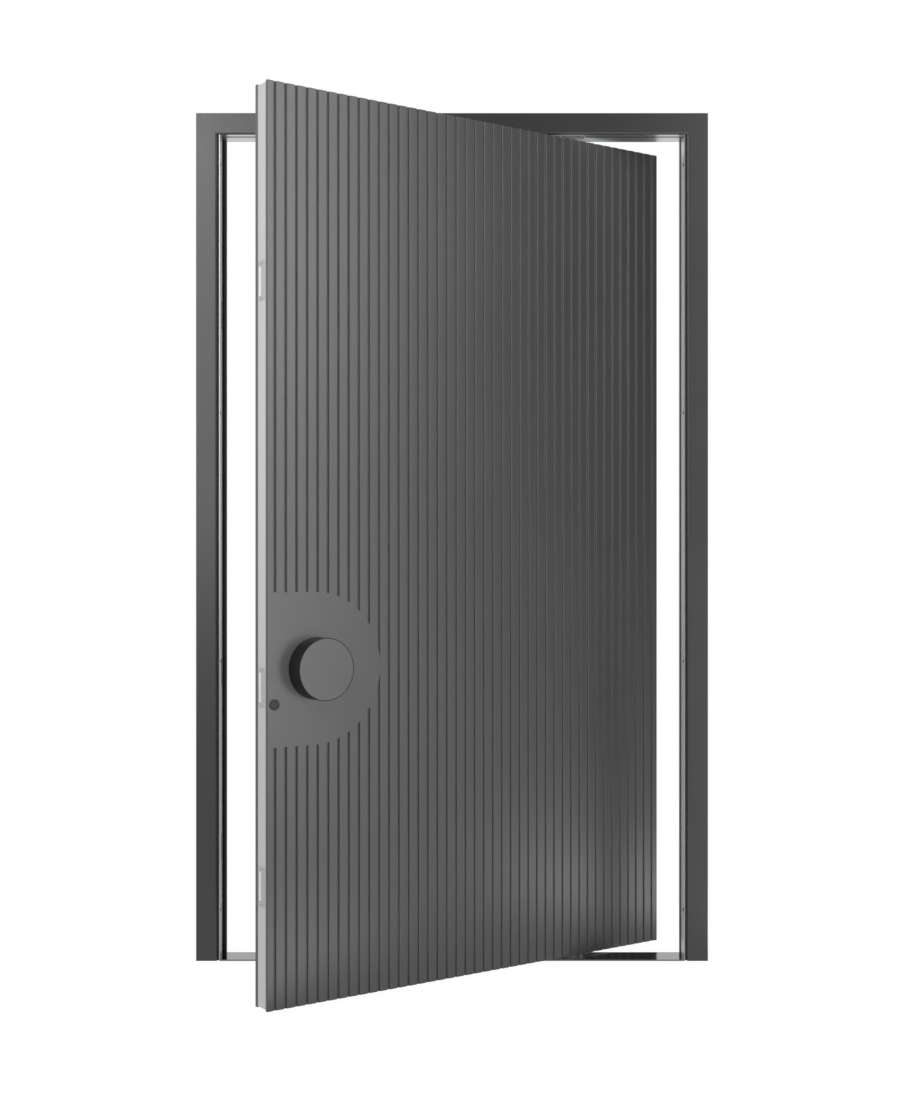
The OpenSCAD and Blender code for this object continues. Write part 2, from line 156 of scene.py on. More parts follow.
room = bpy.data.worlds.new("room")
room.use_nodes = True
scene.world = room
tree = room.node_tree
tree.nodes.clear()
direction = node(tree, "ShaderNodeTexCoord")
toward = node(tree, "ShaderNodeVectorMath", {
    0: direction.outputs["Generated"], 1: BRIGHT_SIDE,
}, operation="DOT_PRODUCT")
sheen_level = node(tree, "ShaderNodeMapRange", {
    "Value": toward.outputs["Value"], "From Min": DIM_FROM, "From Max": DIM_TO,
    "To Min": ROOM_DIM, "To Max": ROOM_WHITE,
}, interpolation_type="SMOOTHSTEP")
path = node(tree, "ShaderNodeLightPath")
direct = node(tree, "ShaderNodeMath", {
    0: path.outputs["Is Camera Ray"], 1: path.outputs["Is Transmission Ray"],
}, operation="MAXIMUM")
soft_or_gloss = node(tree, "ShaderNodeMix", {
    "Factor": path.outputs["Is Glossy Ray"], 2: ROOM_LIGHT, 3: sheen_level.outputs[0],
})
level = node(tree, "ShaderNodeMix", {
    "Factor": direct.outputs[0], 2: soft_or_gloss.outputs[0], 3: ROOM_WHITE,
})
background = node(tree, "ShaderNodeBackground", {
    "Color": (1.0, 1.0, 1.0, 1.0), "Strength": level.outputs[0],
})
node(tree, "ShaderNodeOutputWorld", {"Surface": background.outputs[0]})


# ---- Lamps ------------------------------------------------------------------------------------
# Six soft boxes. The main one stands high on the left in front. The others show in gloss only: one
# on the frame's lock side, two stacked ones on the right for the leaf, and two lying on the floor
# that brighten the leaf near its foot.


def soft_box(name, place, aim, size, watts, sheen_only=False):
    """Adds an area lamp of (width, height) at place, turned towards aim. One for sheen only shows
    in gloss and casts no shadow."""
    data = bpy.data.lights.new(name, "AREA")
    data.shape = "RECTANGLE"
    data.size = size[0]
    data.size_y = size[1]
    data.energy = watts
    lamp = bpy.data.objects.new(name, data)
    lamp.location = place
    lamp.rotation_euler = (Vector(aim) - Vector(place)).to_track_quat("-Z", "Y").to_euler()
    lamp.visible_camera = False
    lamp.visible_diffuse = not sheen_only
    data.use_shadow = not sheen_only
    scene.collection.objects.link(lamp)


soft_box("main_lamp", (-1.7, -2.4, 3.5), (-0.5, 0.0, 1.9), (1.2, 1.2), 17.0)
soft_box("frame_lamp", (-1.15, -2.55, 2.3), (-1.15, 0.0, 2.3), (1.2, 2.4), 20.0, sheen_only=True)
soft_box("leaf_lamp", (2.3, -2.45, 3.05), (-0.4, -0.5, 2.5), (1.2, 2.5), 53.0, sheen_only=True)
soft_box("leaf_low_lamp", (2.3, -2.45, 0.85), (-0.4, -0.5, 0.85), (1.2, 1.5), 20.0, sheen_only=True)
soft_box("floor_lamp", (1.37, -0.2, 0.015), (1.37, -0.2, 1.0), (0.86, 0.64), 4.9, sheen_only=True)
soft_box("floor_front_lamp", (0.1, -0.92, 0.015), (0.1, -0.92, 1.0), (1.0, 0.42), 2.0, sheen_only=True)


# ---- Frame members ----------------------------------------------------------------------------
# Two jambs, a head and the narrow bead behind the pivot side lining: extruded aluminium sections,
# mitred at the top corners and powder coated a satin anthracite.
FRAME_PAINT = (0.05, 0.05, 0.052, 1.0)
FRAME_ROUGHNESS = 0.36
PAINT_SPECULAR = 0.9
PAINT_PEEL = 0.00003
PLAIN_STRETCH = (1.0, 1.0, 1.0)


def new_group(name, inputs, outputs):
    """A shader node group with the sockets named, and its input and output nodes."""
    group = bpy.data.node_groups.new(name, "ShaderNodeTree")
    for label, kind in inputs:
        group.interface.new_socket(label, in_out="INPUT", socket_type=kind)
    for label, kind in outputs:
        group.interface.new_socket(label, in_out="OUTPUT", socket_type=kind)
    return group, group.nodes.new("NodeGroupInput"), group.nodes.new("NodeGroupOutput")


def scaled(tree, value, low, high):
    """Maps a 0 to 1 value to the range from low to high."""
    return node(tree, "ShaderNodeMapRange", {
        "Value": value, "To Min": low, "To Max": high,
    }).outputs[0]


powder_coat, given, result = new_group(
    "powder_coat",
    [("Vector", "NodeSocketVector"), ("Colour", "NodeSocketColor"), ("Roughness", "NodeSocketFloat")],
    [("Colour", "NodeSocketColor"), ("Roughness", "NodeSocketFloat"), ("Height", "NodeSocketFloat")],
)
peel = node(powder_coat, "ShaderNodeTexNoise", {
    "Vector": given.outputs["Vector"], "Scale": 620.0, "Detail": 3.0, "Roughness": 0.55,
})
grain = node(powder_coat, "ShaderNodeTexNoise", {
    "Vector": given.outputs["Vector"], "Scale": 2400.0, "Detail": 1.0,
})
cloud = node(powder_coat, "ShaderNodeTexNoise", {
    "Vector": given.outputs["Vector"], "Scale": 2.2, "Detail": 4.0, "Roughness": 0.6,
})
fleck_shade = scaled(powder_coat, grain.outputs["Fac"], 0.86, 1.14)
cloud_shade = scaled(powder_coat, cloud.outputs["Fac"], 0.95, 1.05)
shade = node(powder_coat, "ShaderNodeMath", {0: fleck_shade, 1: cloud_shade}, operation="MULTIPLY")
tinted = node(powder_coat, "ShaderNodeVectorMath", {
    0: given.outputs["Colour"], "Scale": shade.outputs[0],
}, operation="SCALE")
rough_change = scaled(powder_coat, cloud.outputs["Fac"], -0.05, 0.05)
rough = node(powder_coat, "ShaderNodeMath", {0: given.outputs["Roughness"], 1: rough_change})
powder_coat.links.new(tinted.outputs["Vector"], result.inputs["Colour"])
powder_coat.links.new(rough.outputs[0], result.inputs["Roughness"])
powder_coat.links.new(peel.outputs["Fac"], result.inputs["Height"])


def material_from(
    name, group, colour, roughness, bump, stretch=PLAIN_STRETCH, turn=0.0, **constants
):
    """A material whose colour, roughness and bump come from a surface group on Object coordinates.
    The bump is its depth in metres, and constants are inputs of the shader."""
    material = empty_material(name)
    tree = material.node_tree
    where = node(tree, "ShaderNodeTexCoord")
    placed = node(tree, "ShaderNodeMapping", {
        "Vector": where.outputs["Object"], "Rotation": (0.0, 0.0, turn), "Scale": stretch,
    })
    surface = node(tree, "ShaderNodeGroup", node_tree=group)
    tree.links.new(placed.outputs[0], surface.inputs["Vector"])
    surface.inputs["Colour"].default_value = colour
    surface.inputs["Roughness"].default_value = roughness
    bumped = node(tree, "ShaderNodeBump", {
        "Height": surface.outputs["Height"], "Strength": 1.0, "Distance": bump,
    })
    shader = node(tree, "ShaderNodeBsdfPrincipled", {
        "Base Color": surface.outputs["Colour"],
        "Roughness": surface.outputs["Roughness"],
        "Normal": bumped.outputs[0],
    })
    for socket, value in constants.items():
        shader.inputs[socket.replace("_", " ")].default_value = value
    node(tree, "ShaderNodeOutputMaterial", {"Surface": shader.outputs[0]})
    return material


def dress(names, material):
    """Gives CAD nodes their material."""
    for name in names:
        mesh = frame["nodes"][name].data
        mesh.materials.clear()
        mesh.materials.append(material)


frame_paint = material_from(
    "frame_powder_coat", powder_coat, FRAME_PAINT, FRAME_ROUGHNESS, PAINT_PEEL,
    Specular_IOR_Level=PAINT_SPECULAR,
)
dress(["lock_jamb", "pivot_jamb", "head", "pivot_rear_bead"], frame_paint)


# ---- Bright linings and threshold -------------------------------------------------------------
# Extruded aluminium strips along the jambs and under the head, anodised in its natural colour,
# and a polished threshold plate. The strips on the jambs are painted darker than the same strip
# under the head, a painted shade that holds down their sheen. The die leaves fine straight lines
# along each profile.
# Painted shade: the jamb strips get a darker colour than the head's strip of the same aluminium.
DIMMED_LINING_COLOUR = (0.45, 0.46, 0.465, 1.0)
HEAD_LINING_COLOUR = (0.72, 0.735, 0.74, 1.0)
THRESHOLD_COLOUR = (0.17, 0.17, 0.175, 1.0)
LINING_ROUGHNESS = 0.32
THRESHOLD_ROUGHNESS = 0.14
DIE_LINES = 0.000004
POLISHED_LINES = 0.000002
ALONG_Z = (1500.0, 1500.0, 8.0)
ALONG_X = (8.0, 1500.0, 1500.0)

drawn_metal, given, result = new_group(
    "drawn_metal",
    [("Vector", "NodeSocketVector"), ("Colour", "NodeSocketColor"), ("Roughness", "NodeSocketFloat")],
    [("Colour", "NodeSocketColor"), ("Roughness", "NodeSocketFloat"), ("Height", "NodeSocketFloat")],
)
lines = node(drawn_metal, "ShaderNodeTexNoise", {
    "Vector": given.outputs["Vector"], "Scale": 1.0, "Detail": 4.0, "Roughness": 0.6,
})
haze = node(drawn_metal, "ShaderNodeTexNoise", {
    "Vector": given.outputs["Vector"], "Scale": 0.02, "Detail": 3.0,
})
line_shade = scaled(drawn_metal, lines.outputs["Fac"], 0.9, 1.1)
haze_shade = scaled(drawn_metal, haze.outputs["Fac"], 0.95, 1.05)
shade = node(drawn_metal, "ShaderNodeMath", {0: line_shade, 1: haze_shade}, operation="MULTIPLY")
tinted = node(drawn_metal, "ShaderNodeVectorMath", {
    0: given.outputs["Colour"], "Scale": shade.outputs[0],
}, operation="SCALE")
rough_change = scaled(drawn_metal, lines.outputs["Fac"], -0.07, 0.07)
rough = node(drawn_metal, "ShaderNodeMath", {0: given.outputs["Roughness"], 1: rough_change})
drawn_metal.links.new(tinted.outputs["Vector"], result.inputs["Colour"])
drawn_metal.links.new(rough.outputs[0], result.inputs["Roughness"])
drawn_metal.links.new(lines.outputs["Fac"], result.inputs["Height"])

dimmed_upright_lining = material_from(
    "anodised_upright_dimmed", drawn_metal, DIMMED_LINING_COLOUR, LINING_ROUGHNESS, DIE_LINES, ALONG_Z,
    Metallic=1.0,
)
level_lining = material_from(
    "anodised_level", drawn_metal, HEAD_LINING_COLOUR, LINING_ROUGHNESS, DIE_LINES, ALONG_X,
    Metallic=1.0,
)
polished = material_from(
    "polished_plate", drawn_metal, THRESHOLD_COLOUR, THRESHOLD_ROUGHNESS, POLISHED_LINES, ALONG_X,
    Metallic=1.0,
)
dress(["lock_lining", "pivot_lining"], dimmed_upright_lining)
dress(["head_lining"], level_lining)
dress(["threshold"], polished)


# ---- Rear stop on the lock side ---------------------------------------------------------------
# A black anodised aluminium angle behind the bright lining, which carries the soft seal.
STOP_COLOUR = (0.02, 0.02, 0.021, 1.0)
STOP_ROUGHNESS = 0.4
STOP_METAL_SHARE = 0.6

stop_black = material_from(
    "black_anodised", drawn_metal, STOP_COLOUR, STOP_ROUGHNESS, DIE_LINES, ALONG_Z,
    Metallic=STOP_METAL_SHARE,
)
dress(["lock_stop"], stop_black)


# ---- Rubber gaskets and seals -----------------------------------------------------------------
# Extruded rubber pushed into the slots of the linings, along the lock side stop, in the head's
# groove and in the bottom rail: black along the stop and in the rail, grey in the groove and the
# slots. In the slots the grey is painted shade, a sheet standing for the shade of the recess. Its
# skin is matt, with a little pale bloom.
RUBBER_COLOUR = (0.012, 0.012, 0.013, 1.0)
# Grey of the head seal, and painted shade on the gaskets in the slots of the linings.
GREY_RUBBER_AND_SLOT_SHADE_COLOUR = (0.06, 0.06, 0.062, 1.0)
BLOOM_COLOUR = (0.04, 0.04, 0.041, 1.0)
RUBBER_ROUGHNESS = 0.62
GREY_RUBBER_ROUGHNESS = 0.6
RUBBER_PORES = 0.00004

rubber_skin, given, result = new_group(
    "rubber_skin",
    [("Vector", "NodeSocketVector"), ("Colour", "NodeSocketColor"), ("Roughness", "NodeSocketFloat")],
    [("Colour", "NodeSocketColor"), ("Roughness", "NodeSocketFloat"), ("Height", "NodeSocketFloat")],
)
bloom = node(rubber_skin, "ShaderNodeTexNoise", {
    "Vector": given.outputs["Vector"], "Scale": 9.0, "Detail": 6.0, "Roughness": 0.65,
})
pores = node(rubber_skin, "ShaderNodeTexNoise", {
    "Vector": given.outputs["Vector"], "Scale": 1600.0, "Detail": 2.0,
})
bloom_mask = node(rubber_skin, "ShaderNodeMapRange", {
    "Value": bloom.outputs["Fac"], "From Min": 0.5, "From Max": 0.8, "To Max": 0.3,
})
powdered = node(rubber_skin, "ShaderNodeMix", {
    "Factor": bloom_mask.outputs[0], "A": given.outputs["Colour"], "B": BLOOM_COLOUR,
}, data_type="RGBA")
rough_change = scaled(rubber_skin, bloom.outputs["Fac"], -0.08, 0.12)
rough = node(rubber_skin, "ShaderNodeMath", {0: given.outputs["Roughness"], 1: rough_change})
rubber_skin.links.new(powdered.outputs["Result"], result.inputs["Colour"])
rubber_skin.links.new(rough.outputs[0], result.inputs["Roughness"])
rubber_skin.links.new(pores.outputs["Fac"], result.inputs["Height"])

black_rubber = material_from(
    "black_rubber", rubber_skin, RUBBER_COLOUR, RUBBER_ROUGHNESS, RUBBER_PORES,
)
grey_rubber_and_slot_shade = material_from(
    "grey_rubber_and_slot_shade", rubber_skin, GREY_RUBBER_AND_SLOT_SHADE_COLOUR, GREY_RUBBER_ROUGHNESS, RUBBER_PORES,
)
dress(["lock_stop_seal", "drop_seal"], black_rubber)
# On the slot gaskets this grey is painted shade for the slot's recess; on the head seal it is the
# seal's own grey.
dress(["lock_slot_gasket", "pivot_slot_gasket", "head_seal"], grey_rubber_and_slot_shade)


# ---- Leaf panels ------------------------------------------------------------------------------
# Each side of the leaf is one aluminium panel with milled upright grooves that stop at the plain
# area round the knob. It is powder coated, so the edges of the grooves are a little rounded.
PANEL_PAINT = (0.11, 0.11, 0.111, 1.0)
PANEL_ROUGHNESS = 0.38
GROOVE_EDGE = 0.0013
EDGE_STEPS = 3
SHARP_FROM = math.radians(30.0)
FLAT_WITHIN = math.radians(0.5)
SAME_POINT = 0.000002

joint = frame["joints"][0]
pivot = Vector(joint["pos_m"])
opened = -math.radians(joint["range_deg"][0])
LEAF_OPEN = Matrix.Translation(pivot) @ Matrix.Rotation(opened, 4, "Z") @ Matrix.Translation(-pivot)
LEAF_SHUT = LEAF_OPEN.inverted()


def add_piece(name, shape, material, body):
    """Makes a bmesh in its final place into a piece that rides on a body."""
    mesh = bpy.data.meshes.new(name)
    shape.to_mesh(mesh)
    shape.free()
    mesh.shade_smooth()
    mesh.set_sharp_from_angle(angle=SHARP_FROM)
    mesh.materials.append(material)
    piece = bpy.data.objects.new(name, mesh)
    scene.collection.objects.link(piece)
    even = piece.modifiers.new("even_shading", "WEIGHTED_NORMAL")
    even.keep_sharp = True
    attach(piece, body)
    return piece


def soft_edged(source, edge):
    """A bmesh copy of a CAD node, merged, with its sharp edges rounded by the width edge."""
    shape = bmesh.new()
    shape.from_mesh(frame["nodes"][source].data)
    bmesh.ops.remove_doubles(shape, verts=shape.verts, dist=SAME_POINT)
    bmesh.ops.dissolve_limit(
        shape, angle_limit=FLAT_WITHIN, verts=shape.verts, edges=shape.edges,
    )
    inner = [edge for edge in shape.edges if len(edge.link_faces) == 2]
    sharp = [edge for edge in inner if edge.calc_face_angle() > SHARP_FROM]
    bmesh.ops.bevel(
        shape, geom=sharp, affect="EDGES", offset=edge, segments=EDGE_STEPS, profile=0.5, material=-1,
    )
    return shape


panel_paint = material_from(
    "panel_powder_coat", powder_coat, PANEL_PAINT, PANEL_ROUGHNESS, PAINT_PEEL,
    Specular_IOR_Level=PAINT_SPECULAR,
)
for side in ("front", "back"):
    panel = add_piece(
        f"ribbed_{side}_panel", soft_edged(f"{side}_panel", GROOVE_EDGE), panel_paint,
        "leaf",
    )
    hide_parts(f"{side}_panel")


# ---- Leaf frame -------------------------------------------------------------------------------
# Stiles and rails of natural anodised aluminium, set back a little between the two panels, so
# that they show as the bright edge of the leaf.
EDGE_COLOUR = (0.6, 0.615, 0.615, 1.0)
EDGE_ROUGHNESS = 0.36

stile_metal = material_from(
    "stile_anodised", drawn_metal, EDGE_COLOUR, EDGE_ROUGHNESS, DIE_LINES, ALONG_Z, Metallic=1.0,
)
rail_metal = material_from(
    "rail_anodised", drawn_metal, EDGE_COLOUR, EDGE_ROUGHNESS, DIE_LINES, ALONG_X, turn=-opened,
    Metallic=1.0,
)
dress(["lock_stile", "pivot_stile"], stile_metal)
dress(["top_rail", "bottom_rail"], rail_metal)


# ---- Hook bolts -------------------------------------------------------------------------------
# Three steel bars in the lock edge, drawn back flush with their plates. Each is two leaves of
# stamped plate with a fine seam between them, and its corners are ground off.
BOLT_COLOUR = (0.86, 0.86, 0.87, 1.0)
BOLT_ROUGHNESS = 0.24
FINE_BRUSHING = 0.000003
BOLT_CORNER = 0.0012
CORNER_STEPS = 2
BOLT_SEAM = 0.0006
BOLT_SEAM_DEPTH = 0.0015
LOCKS = ("lower", "main", "upper")

bolt_steel = material_from(
    "bolt_steel", drawn_metal, BOLT_COLOUR, BOLT_ROUGHNESS, FINE_BRUSHING, ALONG_Z, Metallic=1.0,
)


def shut_box(name):
    """The lowest and highest corners of a leaf node when the leaf is shut."""
    points = [LEAF_SHUT @ vertex.co for vertex in frame["nodes"][name].data.vertices]
    low = Vector([min(point[axis] for point in points) for axis in range(3)])
    high = Vector([max(point[axis] for point in points) for axis in range(3)])
    return low, high


def add_block(shape, low, high, corner=0.0):
    """Adds a block between two corners, with its edges rounded by corner."""
    made = bmesh.ops.create_cube(shape, size=1.0)["verts"]
    bmesh.ops.scale(shape, verts=made, vec=high - low)
    bmesh.ops.translate(shape, verts=made, vec=(low + high) / 2)
    if corner:
        edges = list({edge for vertex in made for edge in vertex.link_edges})
        bmesh.ops.bevel(
            shape, geom=edges, affect="EDGES", offset=corner, segments=CORNER_STEPS, profile=0.5,
            material=-1,
        )


for lock in LOCKS:
    low, high = shut_box(f"{lock}_hook_bolt")
    middle = (low.y + high.y) / 2
    shape = bmesh.new()
    add_block(shape, low, Vector((high.x, middle - BOLT_SEAM / 2, high.z)), BOLT_CORNER)
    add_block(shape, Vector((low.x, middle + BOLT_SEAM / 2, low.z)), high, BOLT_CORNER)
    add_block(
        shape,
        Vector((low.x + BOLT_SEAM_DEPTH, middle - BOLT_SEAM / 2, low.z + BOLT_CORNER)),
        Vector((high.x - BOLT_SEAM_DEPTH, middle + BOLT_SEAM / 2, high.z - BOLT_CORNER)),
    )
    shape.transform(LEAF_OPEN)
    bolt = add_piece(f"{lock}_hook_bar", shape, bolt_steel, "leaf")
    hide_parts(f"{lock}_hook_bolt")


# ---- Lock plates and their screws -------------------------------------------------------------
# Stainless plates let into the lock stile, stamped with rounded edges and brushed along their
# length. Each is held by two low button screws with a hexagon socket.
LOCK_COLOUR = (0.5, 0.5, 0.51, 1.0)
LOCK_ROUGHNESS = 0.33
BRUSHING = 0.000005
PLATE_EDGE = 0.0005
SCREW_COLOUR = (0.45, 0.45, 0.46, 1.0)
SCREW_ROUGHNESS = 0.28
NO_GRAIN = (400.0, 400.0, 400.0)
LOCK_SCREW_RADIUS = 0.0038
LOCK_SCREW_HEIGHT = 0.0011
LOCK_SCREW_INSET = 0.0075
SCREW_STEPS = 24
SCREW_TAPER = 0.93
SCREW_SIDE = 0.5
SCREW_CROWN = 0.75
SOCKET_SHARE = 0.42
SOCKET_DEPTH = 0.85
JUST_UNDER = 0.9

lock_steel = material_from(
    "lock_plate_steel", drawn_metal, LOCK_COLOUR, LOCK_ROUGHNESS, BRUSHING, ALONG_Z, Metallic=1.0,
)
screw_steel = material_from(
    "screw_steel", drawn_metal, SCREW_COLOUR, SCREW_ROUGHNESS, FINE_BRUSHING, NO_GRAIN,
    Metallic=1.0,
)


def add_screw(shape, centre, outward, radius, height):
    """Adds a button screw head that stands on centre along outward, with a hexagon socket."""
    head = bmesh.new()
    side_height = height * SCREW_SIDE
    bmesh.ops.create_cone(
        head, cap_ends=False, segments=SCREW_STEPS, radius1=radius, radius2=radius * SCREW_TAPER,
        depth=side_height,
    )
    bmesh.ops.translate(head, verts=head.verts, vec=(0.0, 0.0, side_height / 2))
    rim_from = side_height * JUST_UNDER
    rim = [edge for edge in head.edges if min(v.co.z for v in edge.verts) > rim_from]
    crown = bmesh.ops.extrude_edge_only(head, edges=rim)["geom"]
    crown_points = [item for item in crown if isinstance(item, bmesh.types.BMVert)]
    bmesh.ops.scale(head, verts=crown_points, vec=(SCREW_CROWN, SCREW_CROWN, 1.0))
    bmesh.ops.translate(head, verts=crown_points, vec=(0.0, 0.0, height - side_height))
    crown_edges = [item for item in crown if isinstance(item, bmesh.types.BMEdge)]
    top_from = height * JUST_UNDER
    crown_rim = [edge for edge in crown_edges if min(v.co.z for v in edge.verts) > top_from]
    socket = bmesh.ops.create_circle(head, segments=6, radius=radius * SOCKET_SHARE)["verts"]
    bmesh.ops.translate(head, verts=socket, vec=(0.0, 0.0, height))
    socket_rim = list({edge for vertex in socket for edge in vertex.link_edges})
    bmesh.ops.bridge_loops(head, edges=crown_rim + socket_rim)
    walls = bmesh.ops.extrude_edge_only(head, edges=socket_rim)["geom"]
    foot = [item for item in walls if isinstance(item, bmesh.types.BMVert)]
    bmesh.ops.translate(head, verts=foot, vec=(0.0, 0.0, -height * SOCKET_DEPTH))
    bmesh.ops.contextual_create(head, geom=foot)
    bmesh.ops.recalc_face_normals(head, faces=head.faces)
    turn = Vector((0.0, 0.0, 1.0)).rotation_difference(Vector(outward)).to_matrix().to_4x4()
    head.transform(Matrix.Translation(centre) @ turn)
    made = bpy.data.meshes.new("screw_head")
    head.to_mesh(made)
    head.free()
    shape.from_mesh(made)
    bpy.data.meshes.remove(made)


for lock in LOCKS:
    plate = add_piece(
        f"{lock}_lock_face", soft_edged(f"{lock}_lock_plate", PLATE_EDGE), lock_steel,
        "leaf",
    )
    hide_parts(f"{lock}_lock_plate")
    low, high = shut_box(f"{lock}_lock_plate")
    screws = bmesh.new()
    for height in (low.z + LOCK_SCREW_INSET, high.z - LOCK_SCREW_INSET):
        centre = Vector((low.x, (low.y + high.y) / 2, height))
        add_screw(screws, centre, (-1.0, 0.0, 0.0), LOCK_SCREW_RADIUS, LOCK_SCREW_HEIGHT)
    screws.transform(LEAF_OPEN)
    add_piece(f"{lock}_lock_screws", screws, screw_steel, "leaf")


# ---- Keeps ------------------------------------------------------------------------------------
# Stainless plates let into the lock side lining. Behind each slot sits a black moulded dust box
# that the hook bolt enters; its black is also painted shade, standing for a deep pocket behind the
# slot. Two button screws hold the plate.
KEEP_COLOUR = (0.34, 0.34, 0.35, 1.0)
KEEP_ROUGHNESS = 0.36
MOULDED_COLOUR = (0.014, 0.014, 0.015, 1.0)
MOULDED_ROUGHNESS = 0.5
MOULDED_PEEL = 0.00002
KEEP_SCREW_RADIUS = 0.0032
KEEP_SCREW_HEIGHT = 0.001
KEEP_SCREW_INSET = 0.006
BOX_WALL = 0.0009
BOX_DEPTH = 0.0028

keep_steel = material_from(
    "keep_steel", drawn_metal, KEEP_COLOUR, KEEP_ROUGHNESS, BRUSHING, ALONG_Z, Metallic=1.0,
)
moulded_black = material_from(
    "moulded_black", powder_coat, MOULDED_COLOUR, MOULDED_ROUGHNESS, MOULDED_PEEL,
)
slot_z = [vertex.co.z for vertex in frame["nodes"]["main_keep"].data.vertices]
slot_y = [vertex.co.y for vertex in frame["nodes"]["main_keep"].data.vertices]
keep_low, keep_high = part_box("main_keep")
slot_half_h = min(abs(z - (keep_low.z + keep_high.z) / 2) for z in slot_z)
slot_half_w = min(abs(y - (keep_low.y + keep_high.y) / 2) for y in slot_y)
for lock in LOCKS:
    plate = add_piece(
        f"{lock}_keep_face", soft_edged(f"{lock}_keep", PLATE_EDGE), keep_steel,
        "frame",
    )
    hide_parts(f"{lock}_keep")
    low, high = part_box(f"{lock}_keep")
    centre = (low + high) / 2
    # A shallow black box in the slot: a dust box, and painted shade for the deeper pocket that the
    # slot lacks.
    dust_box_shade_backing = bmesh.new()
    bmesh.ops.create_cube(dust_box_shade_backing, size=1.0)
    bmesh.ops.scale(dust_box_shade_backing, verts=dust_box_shade_backing.verts, vec=(BOX_DEPTH, slot_half_w * 2, slot_half_h * 2))
    box_x = high.x - PLATE_EDGE - BOX_DEPTH / 2
    bmesh.ops.translate(dust_box_shade_backing, verts=dust_box_shade_backing.verts, vec=(box_x, centre.y, centre.z))
    mouth = [face for face in dust_box_shade_backing.faces if face.calc_center_median().x > high.x - PLATE_EDGE * 2]
    bmesh.ops.inset_region(dust_box_shade_backing, faces=mouth, thickness=BOX_WALL)
    floor_face = bmesh.ops.extrude_discrete_faces(dust_box_shade_backing, faces=mouth)["faces"]
    floor_points = list({vertex for face in floor_face for vertex in face.verts})
    bmesh.ops.translate(dust_box_shade_backing, verts=floor_points, vec=(BOX_WALL - BOX_DEPTH, 0.0, 0.0))
    add_piece(f"{lock}_dust_box_shade_backing", dust_box_shade_backing, moulded_black, "frame")
    screws = bmesh.new()
    for height in (low.z + KEEP_SCREW_INSET, high.z - KEEP_SCREW_INSET):
        place = Vector((high.x, centre.y, height))
        add_screw(screws, place, (1.0, 0.0, 0.0), KEEP_SCREW_RADIUS, KEEP_SCREW_HEIGHT)
    add_piece(f"{lock}_keep_screws", screws, screw_steel, "frame")


# ---- Fixing caps ------------------------------------------------------------------------------
# Small domed caps of black plastic pressed over the wall fixings, four up each bright lining.
CAP_RADIUS = 0.0062
CAP_HEIGHT = 0.0014
CAP_BEHIND_FRONT = 0.024
CAP_END = 0.155
CAP_COUNT = 4
CAP_STEPS = 24

cap_y = frame_front + CAP_BEHIND_FRONT
frame_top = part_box("head")[1].z
cap_pitch = (frame_top - 2 * CAP_END) / (CAP_COUNT - 1)
for side, outward in (("lock", 1.0), ("pivot", -1.0)):
    low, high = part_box(f"{side}_lining")
    inner_x = high.x if outward > 0 else low.x
    caps = bmesh.new()
    for count in range(CAP_COUNT):
        before = set(caps.verts)
        bmesh.ops.create_uvsphere(
            caps, u_segments=CAP_STEPS, v_segments=CAP_STEPS // 2, radius=CAP_RADIUS,
        )
        ball = [vertex for vertex in caps.verts if vertex not in before]
        ball_edges = [edge for edge in caps.edges if edge.verts[0] in ball]
        ball_faces = [face for face in caps.faces if face.verts[0] in ball]
        cut = bmesh.ops.bisect_plane(
            caps, geom=ball + ball_edges + ball_faces,
            plane_co=(0.0, 0.0, 0.0), plane_no=(0.0, 0.0, 1.0), clear_inner=True,
        )
        rim = [item for item in cut["geom_cut"] if isinstance(item, bmesh.types.BMEdge)]
        bmesh.ops.edgenet_fill(caps, edges=rim)
        cap = [vertex for vertex in caps.verts if vertex not in before]
        bmesh.ops.scale(caps, verts=cap, vec=(1.0, 1.0, CAP_HEIGHT / CAP_RADIUS))
        bmesh.ops.rotate(caps, verts=cap, matrix=Matrix.Rotation(QUARTER_TURN * outward, 3, "Y"))
        bmesh.ops.translate(caps, verts=cap, vec=(inner_x, cap_y, CAP_END + count * cap_pitch))
    bmesh.ops.recalc_face_normals(caps, faces=caps.faces)
    add_piece(f"{side}_fixing_caps", caps, moulded_black, "frame")


# ---- Pivots -----------------------------------------------------------------------------------
# Steel plates screwed to the threshold and under the head, each with a turned pin that enters a
# shoe in the leaf's rail. The plates are held by four button screws each.
PIVOT_COLOUR = (0.4, 0.4, 0.41, 1.0)
PIVOT_ROUGHNESS = 0.32
PIVOT_SCREW_RADIUS = 0.0045
PIVOT_SCREW_HEIGHT = 0.0014
PIVOT_SCREW_INSET = 0.011

pivot_steel = material_from(
    "pivot_steel", drawn_metal, PIVOT_COLOUR, PIVOT_ROUGHNESS, DIE_LINES, ALONG_X, Metallic=1.0,
)
dress([
    "floor_pivot_plate", "floor_pivot_pin", "head_pivot_plate", "head_pivot_pin",
    "floor_pivot_shoe", "head_pivot_shoe",
], pivot_steel)
for end, outward in (("floor", 1.0), ("head", -1.0)):
    low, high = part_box(f"{end}_pivot_plate")
    face_z = high.z if outward > 0 else low.z
    screws = bmesh.new()
    for x in (low.x + PIVOT_SCREW_INSET, high.x - PIVOT_SCREW_INSET):
        for y in (low.y + PIVOT_SCREW_INSET, high.y - PIVOT_SCREW_INSET):
            add_screw(
                screws, Vector((x, y, face_z)), (0.0, 0.0, outward),
                PIVOT_SCREW_RADIUS, PIVOT_SCREW_HEIGHT,
            )
    add_piece(f"{end}_pivot_screws", screws, screw_steel, "frame")


